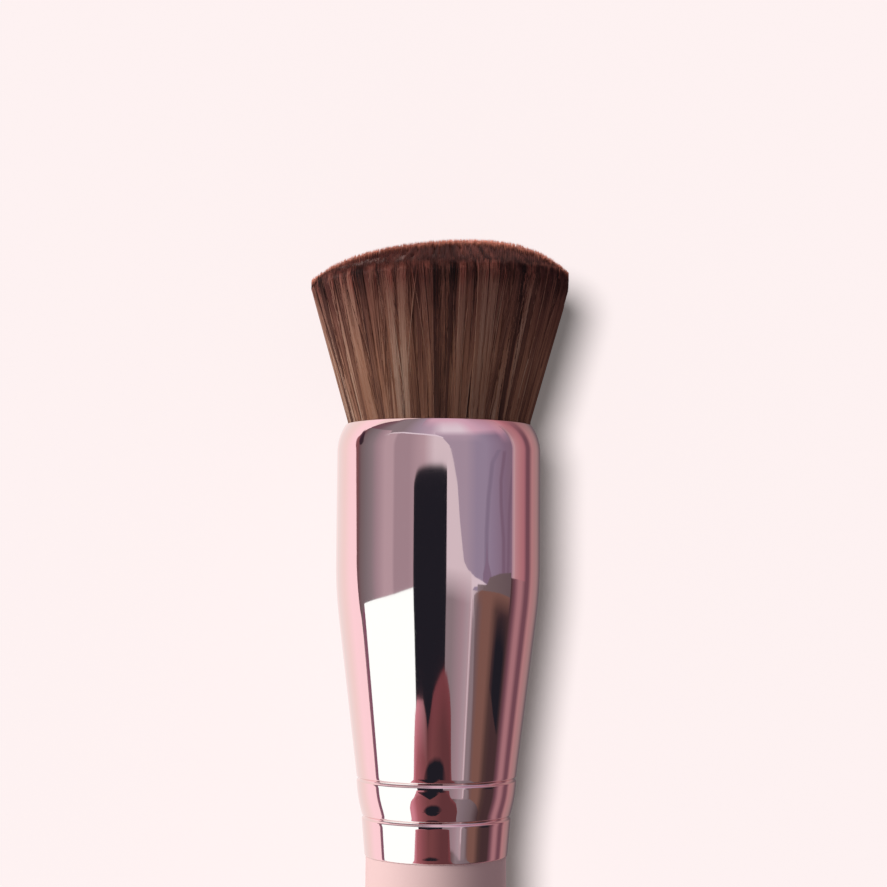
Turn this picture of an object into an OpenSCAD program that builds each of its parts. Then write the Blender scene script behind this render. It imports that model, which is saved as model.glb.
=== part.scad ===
// Flat-top kabuki makeup brush, standing on the foot of its handle.
// Lengths are millimetres, the brush's axis is Z and the foot is at z = 0.

/* [Handle] */
// Length of the handle from its foot to the ferrule
handle_l = 82.6; // [60:0.1:120]
// Length of the straight neck just under the ferrule
neck_l = 14; // [8:1:30]
// Diameter of the handle at its foot
foot_d = 14; // [11:0.5:17]
// Rounding of the foot's edge
foot_round = 1.5; // [0.5:0.25:3]
// Length of the tenon that stands inside the ferrule
tenon_l = 24; // [20:1:28]
// Chamfer round the tenon's free end
tenon_chamfer = 1; // [0.5:0.25:2]
// Number of glue grooves turned in the tenon
groove_count = 3; // [1:1:4]
// Width of one glue groove
groove_w = 1.2; // [0.8:0.1:2]
// Depth of one glue groove
groove_depth = 0.4; // [0.2:0.1:0.8]

/* [Ferrule] */
// Thickness of the ferrule's metal
wall = 0.4; // [0.3:0.05:0.8]
// Length of the plain skirt below the lower crimp
skirt_l = 5; // [3:0.5:8]
// Length of the band between the two crimps
band_l = 4.8; // [3:0.1:8]
// Length of the taper above the upper crimp
taper_l = 24.1; // [18:0.1:36]
// Length of the straight barrel
barrel_l = 17.7; // [14:0.1:30]
// Height of the turned-in shoulder, to the middle of the lip
shoulder_h = 3.4; // [2.4:0.1:4.4]
// Outer diameter at the skirt's edge
skirt_d = 18.3; // [17:0.1:20]
// How much wider the lower crimp is than the skirt's edge
skirt_flare = 0.8; // [0.2:0.1:1.4]
// How much wider the upper crimp is than the lower one
band_flare = 1.4; // [0.6:0.1:2.2]
// Outer diameter of the barrel
barrel_d = 26.4; // [25:0.1:30]
// How far the lip turns in from the barrel's outer face
lip_in = 1.4; // [1.2:0.1:2.6]
// Length over which the taper bends into the barrel
bend_l = 7; // [2:0.5:12]
// Width of one rolled crimp
crimp_w = 0.7; // [0.5:0.1:1.4]
// Depth of one rolled crimp
crimp_depth = 0.22; // [0.1:0.02:0.4]
// How far the band between the crimps swells
band_swell = 0.12; // [0:0.02:0.3]

/* [Bristles] */
// How far the outermost bristles flare beyond the mouth, near their tips
tuft_flare = 5.1; // [2:0.1:8]
// Height of the outermost tips above the lip
tuft_edge_h = 19; // [14:0.1:26]
// How far the middle of the flat top stands above its edge
dome_h = 4.6; // [1:0.1:8]
// Length of each strand's fine tip
tip_l = 1.4; // [0.8:0.1:2.5]
// Largest difference between neighbouring tips
tip_scatter = 0.5; // [0:0.1:1]
// Thickness of a strand at the mouth, across its corners
strand_d = 0.82; // [0.5:0.02:0.86]
// Thickness of a strand where its tip starts, across its corners
strand_tip_d = 1.16; // [0.6:0.02:1.2]

/* [Root] */
// Depth of the resin's top below the lip
root_depth = 14; // [10:0.5:16]
// Thickness of the resin block
resin_t = 9; // [7:0.5:11]
// Length of bristle set in the resin
root_l = 6; // [4:0.5:6.5]
// Gap between the bundle and the ferrule's wall, where the elastic band lies
bundle_gap = 1.7; // [1.4:0.1:3]
// Resin round the outermost bristles
root_cover = 0.2; // [0.1:0.05:0.4]
// Height of the elastic band round the bundle
tie_h = 2.6; // [1:0.2:4]
// Thickness of the elastic band
tie_t = 0.7; // [0.3:0.1:0.9]

/* [Fits] */
// Radial gap for glue between tenon and skirt
glue_gap = 0.15; // [0.1:0.05:0.3]
// Length of tenon left bare above the glue
bare_tenon_l = 6; // [4:0.5:12]
// How far the skirt stands proud of the neck
skirt_proud = 0.15; // [0.05:0.05:0.3]
// Gap between the bristles and the lip
mouth_gap = 0.1; // [0.05:0.05:0.3]
// Gap between the elastic band and the bristles
tie_gap = 0.05; // [0.05:0.05:0.2]

/* [Hidden] */
$fn = 96;

arc_steps = 10;
body_steps = 20;
rim_round = 0.2;
// How far a cut runs past the face that it opens
cut_past = 1;

// Radii of the handle, from the ferrule that it fits
neck_r = skirt_d / 2 - skirt_proud;
tenon_r = skirt_d / 2 - wall - glue_gap;

// Diameters of the ferrule's crimps and mouth
lower_crimp_d = skirt_d + skirt_flare;
upper_crimp_d = lower_crimp_d + band_flare;
mouth_d = barrel_d - 2 * lip_in;

// Heights of the ferrule's stations above its lower edge
lower_crimp_z = skirt_l;
upper_crimp_z = lower_crimp_z + band_l;
bend_z = upper_crimp_z + taper_l;
shoulder_z = bend_z + barrel_l;
lip_z = shoulder_z + shoulder_h;

// The shoulder is an arc, tangent to the barrel, that ends in the middle of the lip
turn_in = lip_in - wall;
shoulder_r = (turn_in * turn_in + shoulder_h * shoulder_h) / (2 * turn_in);
lip_angle = asin(shoulder_h / shoulder_r);
shoulder_x = (barrel_d - wall) / 2 - shoulder_r;
lip_x = (mouth_d + wall) / 2;

// Heights above the foot
mouth_z = handle_l + lip_z;
resin_top = mouth_z - root_depth;
root_z = resin_top - root_l;

// The bristles stand round one strand in rings, each with six strands more than the last
core_rings = 4;
inner_rings = 7;
middle_rings = 10;
outer_rings = 11;
strand_rings = 12;
strand_sides = 3;
count_step = 6;
// How far a strand runs into its slice of resin
root_sink = 0.6;
// The flat top stays level to near its edge: a higher power makes it flatter
top_power = 4;
// Turns, in degrees, that spread the tips' heights along a ring and from ring to ring
strand_spread = 137.5;
ring_spread = 71;

// Radii of the bundle in the resin, at the mouth and near its tips
bundle_r = barrel_d / 2 - wall - bundle_gap;
mouth_bundle_r = mouth_d / 2 - mouth_gap;
tuft_r = mouth_d / 2 + tuft_flare;
pocket_r = bundle_r + root_cover;

// The elastic band clears the bundle at its own top and bottom edge
tie_share = (tie_h + root_sink) / (root_depth + root_sink);
tie_r = max(bundle_r, bundle_r + (mouth_bundle_r - bundle_r) * tie_share) + tie_gap;

function smooth(t) = t * t * (3 - 2 * t);
function reversed(list) = [for (i = [len(list) - 1 : -1 : 0]) list[i]];
function arc(x, z, r, from, to, steps = arc_steps) = [
    for (i = [0 : steps])
        let (a = from + (to - from) * i / steps)
        [x + r * cos(a), z + r * sin(a)]
];
function bezier(a, b, c, steps = arc_steps) = [
    for (i = [0 : steps])
        let (t = i / steps)
        a * (1 - t) * (1 - t) + b * 2 * t * (1 - t) + c * t * t
];

// A rolled crimp: a shallow cosine groove on the line from one point to another
function crimp(z, r_below, r_above, inset) = [
    for (i = [0 : arc_steps])
        let (t = i / arc_steps, dip = crimp_depth * (1 - cos(360 * t)) / 2)
        [r_below + (r_above - r_below) * t - dip - inset, z + crimp_w * (t - 0.5)]
];
// The band between the crimps, with its slight swell
function band(inset) = [
    for (i = [1 : arc_steps - 1])
        let (t = i / arc_steps, swell = band_swell * sin(180 * t))
        [
            (lower_crimp_d + (upper_crimp_d - lower_crimp_d) * t) / 2 + swell - inset,
            lower_crimp_z + crimp_w / 2 + (band_l - crimp_w) * t,
        ]
];
// The ferrule's wall from above the skirt's edge to the shoulder, inset from its outer face
function ferrule_line(inset) = concat(
    crimp(lower_crimp_z, lower_crimp_d / 2, lower_crimp_d / 2, inset),
    band(inset),
    crimp(upper_crimp_z, upper_crimp_d / 2, upper_crimp_d / 2, inset),
    let (
        r = barrel_d / 2 - inset,
        slope = (barrel_d - upper_crimp_d) / 2 / taper_l,
        half = bend_l / 2
    )
    bezier([r - slope * half, bend_z - half], [r, bend_z], [r, bend_z + half]),
    arc(shoulder_x, shoulder_z, shoulder_r + wall / 2 - inset, 0, lip_angle)
);
function ferrule_lip() = arc(lip_x, lip_z, wall / 2, lip_angle, lip_angle + 180);

module ferrule_section() {
    polygon(concat(
        [[skirt_d / 2 - wall, 0]],
        arc(skirt_d / 2 - rim_round, rim_round, rim_round, -90, 0),
        ferrule_line(0),
        ferrule_lip(),
        reversed(ferrule_line(wall))
    ));
}

// All that lies inside the ferrule's metal, from its lower edge to the lip
module ferrule_cavity() {
    line = ferrule_line(wall);
    top = line[len(line) - 1][1];
    polygon(concat([[0, 0], [skirt_d / 2 - wall, 0]], line, [[0, top]]));
}

module cavity_slice(from, to) {
    intersection() {
        ferrule_cavity();
        translate([0, from]) square([barrel_d, to - from]);
    }
}

// One square glue groove, and the whole tenon with its grooves, above the height z
function groove(z) =
    let (low = z - groove_w / 2, high = z + groove_w / 2, floor_r = tenon_r - groove_depth)
    [[tenon_r, low], [floor_r, low], [floor_r, high], [tenon_r, high]];
function tenon_line(z) =
    let (pitch = (tenon_l - tenon_chamfer) / (groove_count + 1))
    concat(
        [[tenon_r, z]],
        [for (i = [1 : groove_count]) each groove(z + pitch * i)],
        [
            [tenon_r, z + tenon_l - tenon_chamfer],
            [tenon_r - tenon_chamfer, z + tenon_l],
            [0, z + tenon_l],
        ]
    );

module tenon_section() {
    polygon(concat([[0, 0]], tenon_line(0)));
}

module handle_section() {
    foot_r = foot_d / 2;
    body_top = handle_l - neck_l;
    polygon(concat(
        [[0, 0]],
        arc(foot_r - foot_round, foot_round, foot_round, -90, 0),
        [
            for (i = [1 : body_steps])
                let (t = i / body_steps)
                [
                    foot_r + (neck_r - foot_r) * smooth(t),
                    foot_round + (body_top - foot_round) * t,
                ]
        ],
        [[neck_r, handle_l]],
        tenon_line(handle_l)
    ));
}

module handle() {
    color("mistyrose") rotate_extrude() handle_section();
}

module tenon_glue() {
    color("khaki") translate([0, 0, handle_l]) rotate_extrude() difference() {
        cavity_slice(0, tenon_l - bare_tenon_l);
        tenon_section();
    }
}

module ferrule() {
    color("rosybrown") translate([0, 0, handle_l]) rotate_extrude() ferrule_section();
}

module root_resin() {
    top = lip_z - root_depth;
    color("goldenrod") translate([0, 0, handle_l]) rotate_extrude() difference() {
        cavity_slice(top - resin_t, top);
        translate([0, top - root_l]) square([pocket_r, root_l + cut_past]);
    }
}

module root_band() {
    color("dimgray") translate([0, 0, resin_top]) difference() {
        cylinder(h = tie_h, r = tie_r + tie_t);
        translate([0, 0, -cut_past]) cylinder(h = tie_h + 2 * cut_past, r = tie_r);
    }
}

// Strands in one ring, and the angle of one of them; every other ring is turned half a step
function ring_count(ring) = max(1, count_step * ring);
function strand_angle(ring, i) = 360 * (i + (ring % 2) / 2) / ring_count(ring);

// A number from -1 to 1 that differs from strand to strand
function scatter(ring, i) = sin(strand_spread * i + ring_spread * ring);

function tip_height(ring, i) =
    let (share = ring / strand_rings)
    tuft_edge_h + dome_h * (1 - pow(share, top_power)) + tip_scatter / 2 * scatter(ring, i);

// One section of a strand: an equal-sided outline with a corner outwards
function strand_ring(share, outer_r, thickness, angle, z) =
    let (centre = share * (outer_r - thickness / 2))
    [
        for (s = [0 : strand_sides - 1])
            let (a = angle + 360 * s / strand_sides, c = thickness / 2)
            [centre * cos(angle) + c * cos(a), centre * sin(angle) + c * sin(a), z]
    ];

// A strand runs from the resin to the mouth, flares to the start of its tip and ends in a point
function strand_points(ring, i) =
    let (
        share = ring / strand_rings,
        angle = strand_angle(ring, i),
        top = mouth_z + tip_height(ring, i),
        tip_r = share * (tuft_r - strand_tip_d / 2)
    )
    concat(
        strand_ring(share, bundle_r, strand_d, angle, resin_top - root_sink),
        strand_ring(share, mouth_bundle_r, strand_d, angle, mouth_z),
        strand_ring(share, tuft_r, strand_tip_d, angle, top - tip_l),
        [[tip_r * cos(angle), tip_r * sin(angle), top]]
    );

// Faces of a strand whose points start at a given place in the list
function strand_faces(start) =
    let (n = strand_sides, last = start + 2 * n, apex = start + 3 * n)
    concat(
        [[for (s = [0 : n - 1]) start + s]],
        [
            for (level = [0, 1], s = [0 : n - 1])
                let (a = start + level * n + s, b = start + level * n + (s + 1) % n)
                each [[a, a + n, b], [b, a + n, b + n]]
        ],
        [for (s = [0 : n - 1]) [last + s, apex, last + (s + 1) % n]]
    );

// The strands of the rings from first to last, in one polyhedron
module strands(first, last) {
    set = [for (ring = [first : last], i = [0 : ring_count(ring) - 1]) [ring, i]];
    size = 3 * strand_sides + 1;
    polyhedron(
        points = [for (s = set) each strand_points(s[0], s[1])],
        faces = [for (n = [0 : len(set) - 1]) each strand_faces(n * size)]
    );
}

// The slice of resin that holds those rings
module root_slice(first, last) {
    pitch = (bundle_r - strand_d / 2) / strand_rings;
    inner = first == 0 ? 0 : pitch * (first - 0.5);
    outer = last == strand_rings ? pocket_r : pitch * (last + 0.5);
    translate([0, 0, root_z]) difference() {
        cylinder(h = root_l, r = outer);
        if (inner > 0)
            translate([0, 0, -cut_past]) cylinder(h = root_l + 2 * cut_past, r = inner);
    }
}

module bristles(first, last, tint) {
    color(tint) union() {
        root_slice(first, last);
        strands(first, last);
    }
}

module bristles_core() { bristles(0, core_rings, "saddlebrown"); }
module bristles_inner() { bristles(core_rings + 1, inner_rings, "sienna"); }
module bristles_middle() { bristles(inner_rings + 1, middle_rings, "saddlebrown"); }
module bristles_outer() { bristles(middle_rings + 1, outer_rings, "sienna"); }
module bristles_rim() { bristles(outer_rings + 1, strand_rings, "brown"); }

handle();
tenon_glue();
ferrule();
root_resin();
root_band();
bristles_core();
bristles_inner();
bristles_middle();
bristles_outer();
bristles_rim();
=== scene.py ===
"""Looks of the flat-top makeup brush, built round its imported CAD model. Lengths are metres."""

import math

import bpy
import numpy as np
from mathutils import Matrix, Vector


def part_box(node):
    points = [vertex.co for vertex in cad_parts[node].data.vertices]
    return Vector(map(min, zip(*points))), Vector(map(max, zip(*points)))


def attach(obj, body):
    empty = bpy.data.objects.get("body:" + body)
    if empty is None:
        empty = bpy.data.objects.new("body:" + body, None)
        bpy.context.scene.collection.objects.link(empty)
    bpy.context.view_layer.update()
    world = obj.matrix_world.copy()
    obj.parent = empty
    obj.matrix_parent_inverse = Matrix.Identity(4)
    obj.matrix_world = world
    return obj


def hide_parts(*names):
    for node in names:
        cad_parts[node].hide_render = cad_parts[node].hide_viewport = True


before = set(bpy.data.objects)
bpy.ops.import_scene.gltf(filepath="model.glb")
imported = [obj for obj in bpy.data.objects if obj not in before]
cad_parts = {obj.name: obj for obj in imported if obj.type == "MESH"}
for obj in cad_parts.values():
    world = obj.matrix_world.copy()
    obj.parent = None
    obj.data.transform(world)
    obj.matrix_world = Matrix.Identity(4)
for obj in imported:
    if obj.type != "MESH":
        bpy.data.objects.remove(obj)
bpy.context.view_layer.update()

MM = 0.001

# Places that the CAD model gives
FERRULE_LOW, FERRULE_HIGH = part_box("ferrule")
TUFT_LOW, TUFT_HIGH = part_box("bristles_rim")
TIPS_LOW, TIPS_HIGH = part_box("bristles_core")
RESIN_LOW, RESIN_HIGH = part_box("root_resin")
HANDLE_LOW, HANDLE_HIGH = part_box("handle")
FERRULE_FOOT = FERRULE_LOW.z
BARREL_R = FERRULE_HIGH.x
TUFT_R = TUFT_HIGH.x

# Ferrule
WALL = 0.4 * MM
SKIRT_R = 9.15 * MM
LOWER_CRIMP_R = 9.55 * MM
UPPER_CRIMP_R = 10.25 * MM
LOWER_CRIMP_H = 5.0 * MM
UPPER_CRIMP_H = 9.8 * MM
BEND_H = 33.9 * MM
BEND_L = 7.0 * MM
SHOULDER_H = 51.6 * MM
SHOULDER_RISE = 3.4 * MM
LIP_IN = 1.4 * MM
CRIMP_W = 0.7 * MM
CRIMP_DEPTH = 0.22 * MM
BAND_SWELL = 0.12 * MM
EDGE_ROUND = 0.18 * MM
LIP_H = SHOULDER_H + SHOULDER_RISE
MOUTH_R = BARREL_R - LIP_IN
MOUTH_Z = FERRULE_FOOT + LIP_H

# Handle
NECK_R = 9.0 * MM
NECK_L = 14.0 * MM
FOOT_R = 7.0 * MM
FOOT_ROUND = 1.5 * MM
TENON_R = 8.6 * MM
TENON_L = 24.0 * MM
TENON_CHAMFER = 1.0 * MM
GROOVE_COUNT = 3
GROOVE_W = 1.2 * MM
GROOVE_DEPTH = 0.4 * MM

# Mesh fineness
AROUND = 256
HANDLE_AROUND = 128
FINE_STEP = 0.35 * MM
WELD = 1e-7


def deselect():
    """Nothing stays selected, so an operator acts only on what is made next."""
    bpy.ops.object.select_all(action="DESELECT")


def line(start, end, step=FINE_STEP):
    """Points from start to end, both included, no further apart than step."""
    count = max(1, math.ceil(math.dist(start, end) / step))
    return [
        (start[0] + (end[0] - start[0]) * i / count, start[1] + (end[1] - start[1]) * i / count)
        for i in range(count + 1)
    ]


def arc(x, z, r, start, end, steps=10):
    """Points on an arc round (x, z), angles in degrees."""
    angles = [math.radians(start + (end - start) * i / steps) for i in range(steps + 1)]
    return [(x + r * math.cos(a), z + r * math.sin(a)) for a in angles]


def joined(*stretches):
    """One outline from several stretches, with no point twice in a row."""
    outline = []
    for point in (p for stretch in stretches for p in stretch):
        if not outline or math.dist(outline[-1], point) > WELD:
            outline.append(point)
    return outline


def turn(name, outline, around=AROUND):
    """A piece turned on a lathe: an outline of (radius, height) points, spun round the brush's axis."""
    deselect()
    first_r, first_z = outline[0]
    bpy.ops.mesh.primitive_plane_add(size=WALL, location=(first_r, 0, first_z))
    piece = bpy.context.object
    piece.name = name
    bpy.ops.object.transform_apply(location=True, rotation=True, scale=True)
    bpy.ops.object.mode_set(mode="EDIT")
    bpy.ops.mesh.merge(type="CENTER")
    for (r, z), (next_r, next_z) in zip(outline, outline[1:]):
        step = (next_r - r, 0, next_z - z)
        bpy.ops.mesh.extrude_vertices_move(TRANSFORM_OT_translate={"value": step})
    bpy.ops.mesh.select_all(action="SELECT")
    bpy.ops.mesh.spin(steps=around, angle=math.tau, center=(0, 0, 0), axis=(0, 0, 1))
    bpy.ops.mesh.select_all(action="SELECT")
    bpy.ops.mesh.remove_doubles(threshold=WELD * 10)
    bpy.ops.mesh.normals_make_consistent(inside=False)
    bpy.ops.object.mode_set(mode="OBJECT")
    bpy.ops.object.shade_smooth_by_angle(angle=math.radians(50))
    return piece


def keep(piece, material, slot, *nodes):
    """Gives a finished piece its material, and lets it stand for its CAD nodes. Its slot is not used."""
    piece.data.materials.clear()
    piece.data.materials.append(material)
    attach(piece, "root")
    if nodes:
        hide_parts(*nodes)
    return piece


class Nodes:
    """A material's node tree, with short calls for adding and linking nodes."""

    def __init__(self, name):
        self.material = bpy.data.materials.new(name)
        self.material.use_nodes = True
        self.tree = self.material.node_tree
        self.tree.nodes.clear()
        self.output = self.tree.nodes.new("ShaderNodeOutputMaterial")

    def add(self, kind, settings=None, **inputs):
        """A node with its settings, and its inputs by name: a value, or a socket to link from."""
        node = self.tree.nodes.new("ShaderNode" + kind)
        for key, value in (settings or {}).items():
            setattr(node, key, value)
        for key, value in inputs.items():
            socket = self.socket(node, key)
            if isinstance(value, bpy.types.NodeSocket):
                self.tree.links.new(value, socket)
            else:
                socket.default_value = value
        return node

    @staticmethod
    def socket(node, key):
        """An input by its name in lower case, with a number after it where names repeat."""
        word, _, number = key.partition("__")
        found = [s for s in node.inputs if s.name.lower().replace(" ", "_") == word and s.enabled]
        return found[int(number or 0)]

    def ramp(self, factor, stops, kind="LINEAR"):
        """A colour ramp from (position, colour) stops."""
        node = self.add("ValToRGB", fac=factor)
        node.color_ramp.interpolation = kind
        while len(node.color_ramp.elements) < len(stops):
            node.color_ramp.elements.new(0.5)
        for element, (position, colour) in zip(node.color_ramp.elements, stops):
            element.position = position
            element.color = (*colour, 1)
        return node.outputs["Color"]

    def between(self, value, low, high, to_low=0.0, to_high=1.0):
        """Value from low..high brought to to_low..to_high, and held there outside."""
        settings = {"clamp": True}
        node = self.add(
            "MapRange", settings, value=value, from_min=low, from_max=high, to_min=to_low, to_max=to_high
        )
        return node.outputs["Result"]

    def mix(self, factor, first, second):
        """Two colours mixed."""
        node = self.add("Mix", {"data_type": "RGBA"})
        colours = [s for s in node.inputs if s.type == "RGBA"]
        for socket, value in zip([node.inputs["Factor"], *colours], [factor, first, second]):
            if isinstance(value, bpy.types.NodeSocket):
                self.tree.links.new(value, socket)
            else:
                socket.default_value = value if socket.type == "VALUE" else (*value, 1)
        return next(s for s in node.outputs if s.type == "RGBA")

    def noise(self, scale, detail=3.0, stretch=(1, 1, 1)):
        """Noise on the piece's own coordinates, pulled out along an axis by stretch."""
        place = self.add("TexCoord").outputs["Object"]
        mapped = self.add("Mapping", vector=place, scale=stretch).outputs["Vector"]
        node = self.add("TexNoise", vector=mapped, scale=scale, detail=detail)
        return node.outputs["Fac"]

    def finish(self, shader):
        """Sends a shader to the output and returns the material."""
        self.tree.links.new(shader, self.output.inputs["Surface"])
        return self.material


def rose_gold():
    """Polished and anodised aluminium: a pink mirror with faint draw lines and finger haze."""
    n = Nodes("rose_gold")
    haze = n.noise(45.0, detail=4.0)
    lines = n.noise(900.0, detail=2.0, stretch=(1, 1, 0.04))
    roughness = n.between(haze, 0.35, 0.75, 0.02, 0.055)
    sway = n.noise(60.0, detail=1.0)
    bump = n.add("Bump", strength=0.03, distance=0.0001, height=sway)
    bump = n.add("Bump", strength=0.02, distance=0.00001, height=lines, normal=bump.outputs["Normal"])
    colour = n.mix(haze, (0.90, 0.69, 0.67), (0.88, 0.66, 0.64))
    shader = n.add(
        "BsdfPrincipled", base_color=colour, metallic=1.0, roughness=roughness, normal=bump.outputs["Normal"]
    )
    return n.finish(shader.outputs["BSDF"])


def soft_lacquer():
    """Pale pink soft-touch lacquer over turned wood: matt, with a fine orange-peel skin."""
    n = Nodes("soft_lacquer")
    cloud = n.noise(70.0, detail=4.0)
    skin = n.noise(6500.0, detail=2.0)
    colour = n.mix(cloud, (0.94, 0.66, 0.62), (0.92, 0.64, 0.605))
    roughness = n.between(cloud, 0.3, 0.7, 0.58, 0.68)
    bump = n.add("Bump", strength=0.15, distance=0.00002, height=skin)
    shader = n.add("BsdfPrincipled", base_color=colour, roughness=roughness, normal=bump.outputs["Normal"])
    shader.inputs["Specular IOR Level"].default_value = 0.3
    return n.finish(shader.outputs["BSDF"])


def ferrule_outside(inset):
    """The ferrule's wall from its lower crimp to its shoulder, inset from the outer face."""

    def crimp(height, radius):
        steps = 16
        return [
            (
                radius - inset - CRIMP_DEPTH * (1 - math.cos(math.tau * i / steps)) / 2,
                FERRULE_FOOT + height + CRIMP_W * (i / steps - 0.5),
            )
            for i in range(steps + 1)
        ]

    band_steps = 16
    band = [
        (
            LOWER_CRIMP_R + (UPPER_CRIMP_R - LOWER_CRIMP_R) * t + BAND_SWELL * math.sin(math.pi * t) - inset,
            FERRULE_FOOT + LOWER_CRIMP_H + CRIMP_W / 2 + (UPPER_CRIMP_H - LOWER_CRIMP_H - CRIMP_W) * t,
        )
        for t in (i / band_steps for i in range(1, band_steps))
    ]
    slope = (BARREL_R - UPPER_CRIMP_R) / (BEND_H - UPPER_CRIMP_H)
    half = BEND_L / 2
    bend_z = FERRULE_FOOT + BEND_H
    barrel = BARREL_R - inset
    upper = crimp(UPPER_CRIMP_H, UPPER_CRIMP_R)
    below_bend = (barrel - slope * half, bend_z - half)
    bend_steps = 24
    bend = [
        (
            below_bend[0] * (1 - t) ** 2 + barrel * (2 * t * (1 - t) + t * t),
            below_bend[1] * (1 - t) ** 2 + bend_z * 2 * t * (1 - t) + (bend_z + half) * t * t,
        )
        for t in (i / bend_steps for i in range(bend_steps + 1))
    ]
    turn_in = LIP_IN - WALL
    shoulder_r = (turn_in**2 + SHOULDER_RISE**2) / (2 * turn_in)
    lip_angle = math.degrees(math.asin(SHOULDER_RISE / shoulder_r))
    centre_x = BARREL_R - WALL / 2 - shoulder_r
    shoulder_z = FERRULE_FOOT + SHOULDER_H
    shoulder = arc(centre_x, shoulder_z, shoulder_r + WALL / 2 - inset, 0, lip_angle, 28)
    outline = joined(
        crimp(LOWER_CRIMP_H, LOWER_CRIMP_R),
        band,
        upper,
        line(upper[-1], below_bend),
        bend,
        line((barrel, bend_z + half), (barrel, shoulder_z)),
        shoulder,
    )
    return outline, lip_angle


def build_ferrule():
    """The spun shell: skirt, two crimps, taper, barrel, turned-in shoulder and rolled lip."""
    outside, lip_angle = ferrule_outside(0)
    inside, _ = ferrule_outside(WALL)
    foot_arc = arc(SKIRT_R - EDGE_ROUND, FERRULE_FOOT + EDGE_ROUND, EDGE_ROUND, -90, 0, 6)
    lip = arc(MOUTH_R + WALL / 2, MOUTH_Z, WALL / 2, lip_angle, lip_angle + 180, 14)
    inner_foot = (SKIRT_R - WALL, FERRULE_FOOT)
    outline = joined(
        line(inner_foot, foot_arc[0]),
        foot_arc,
        line(foot_arc[-1], outside[0]),
        outside,
        lip,
        inside[::-3],
        line(inside[0], inner_foot, 4 * FINE_STEP),
    )
    return keep(turn("rose_gold_ferrule", outline), rose_gold(), "ferrule", "ferrule")


def build_handle():
    """The turned handle: rounded foot, long swell to the neck, and the grooved tenon inside the ferrule."""
    body_top = FERRULE_FOOT - NECK_L
    body_steps = 60
    body = []
    for i in range(1, body_steps + 1):
        t = i / body_steps
        ease = t * t * (3 - 2 * t)
        body.append((FOOT_R + (NECK_R - FOOT_R) * ease, FOOT_ROUND + (body_top - FOOT_ROUND) * t))
    pitch = (TENON_L - TENON_CHAMFER) / (GROOVE_COUNT + 1)
    tenon = [(NECK_R, FERRULE_FOOT), (TENON_R, FERRULE_FOOT)]
    for i in range(1, GROOVE_COUNT + 1):
        low = FERRULE_FOOT + pitch * i - GROOVE_W / 2
        floor_r = TENON_R - GROOVE_DEPTH
        tenon += [(TENON_R, low), (floor_r, low), (floor_r, low + GROOVE_W), (TENON_R, low + GROOVE_W)]
    tenon_top = FERRULE_FOOT + TENON_L
    tenon += [(TENON_R, tenon_top - TENON_CHAMFER), (TENON_R - TENON_CHAMFER, tenon_top), (0, tenon_top)]
    outline = joined(
        line((0, 0), (FOOT_R - FOOT_ROUND, 0), MM),
        arc(FOOT_R - FOOT_ROUND, FOOT_ROUND, FOOT_ROUND, -90, 0, 14),
        body,
        line(body[-1], (NECK_R, FERRULE_FOOT), MM),
        tenon,
    )
    return keep(turn("lacquered_handle", outline, HANDLE_AROUND), soft_lacquer(), "handle", "handle")


def amber_epoxy(name, colour):
    """Cured epoxy: glossy, warm, with soft clouds where it set unevenly."""
    n = Nodes(name)
    cloud = n.noise(300.0, detail=4.0)
    tint = n.mix(cloud, colour, tuple(c * 0.7 for c in colour))
    shader = n.add("BsdfPrincipled", base_color=tint, roughness=0.25)
    return n.finish(shader.outputs["BSDF"])


def black_rubber():
    """The elastic band: matt, faintly ribbed along its length."""
    n = Nodes("black_rubber")
    ribs = n.noise(900.0, detail=2.0, stretch=(0.1, 0.1, 1))
    tint = n.mix(ribs, (0.05, 0.045, 0.045), (0.1, 0.09, 0.09))
    bump = n.add("Bump", strength=0.3, distance=0.0001, height=ribs)
    shader = n.add("BsdfPrincipled", base_color=tint, roughness=0.8, normal=bump.outputs["Normal"])
    return n.finish(shader.outputs["BSDF"])


def dress_inside():
    """The pieces inside the ferrule keep their CAD shape and take their finish."""
    finishes = {
        "tenon_glue": (amber_epoxy("amber_glue", (0.80, 0.68, 0.42)), "glue"),
        "root_resin": (amber_epoxy("amber_resin", (0.70, 0.50, 0.24)), "resin"),
        "root_band": (black_rubber(), "band"),
    }
    for node, (material, slot) in finishes.items():
        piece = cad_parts[node]
        piece.data.materials.clear()
        piece.data.materials.append(material)


# Bristles
SEED = 334
SECTORS = 8
LONG_STRANDS = 26000
SHORT_STRANDS = 22000
FUZZ_STRANDS = 8500
LOCKS = 260
UNDER_SHARE = 0.25
GATHER = 0.25
STRAY_SHARE = 0.10
STRAY_LEAN = 1.5 * MM
OWN_LEAN = 0.16 * MM
STRAND_D = 0.12 * MM
FLARE_R = TUFT_R - 0.085 * MM
FLARE_H = 17.9 * MM
ROOT_R = MOUTH_R - 0.12 * MM
ROOT_Z = MOUTH_Z - 3.5 * MM
EDGE_H = 19.35 * MM
DOME_H = 3.8 * MM
DOME_POWER = 4
DOME_LEAN = 0.9 * MM
DOME_TILT = 0.65 * MM
TIP_SCATTER = 0.4 * MM
EDGE_SCATTER = 1.1 * MM
UNDER_LOW = 0.935
SKIN_LOW = 0.955
TRUNK_SHARE = 0.93
TRUNK_DROP = 0.9 * MM
SHORT_L = 4.5 * MM
FUZZ_L = 0.9 * MM
LOCK_TONE_SHARE = 0.85
TOP_Z = TIPS_HIGH.z - 0.02 * MM
BAKE_MAP = "OFBake"
TONE_W = 0.004
# Along the strands, the fine ends' painted highlight colour begins here
FUZZ_GLOW_START = 0.9
# Painted shade near the ferrule: the strands' colour is scaled down to ROOT_SHADE between these two places along them
ROOT_SHADE = 0.75
ROOT_SHADE_LOW = 0.14
ROOT_SHADE_HIGH = 0.48


def tuft_radius(height):
    """Outer radius of the tuft at a height above the mouth: a straight flare, then upright tips."""
    share = np.clip(height / FLARE_H, 0, 1)
    return ROOT_R + (FLARE_R - ROOT_R) * share


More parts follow.
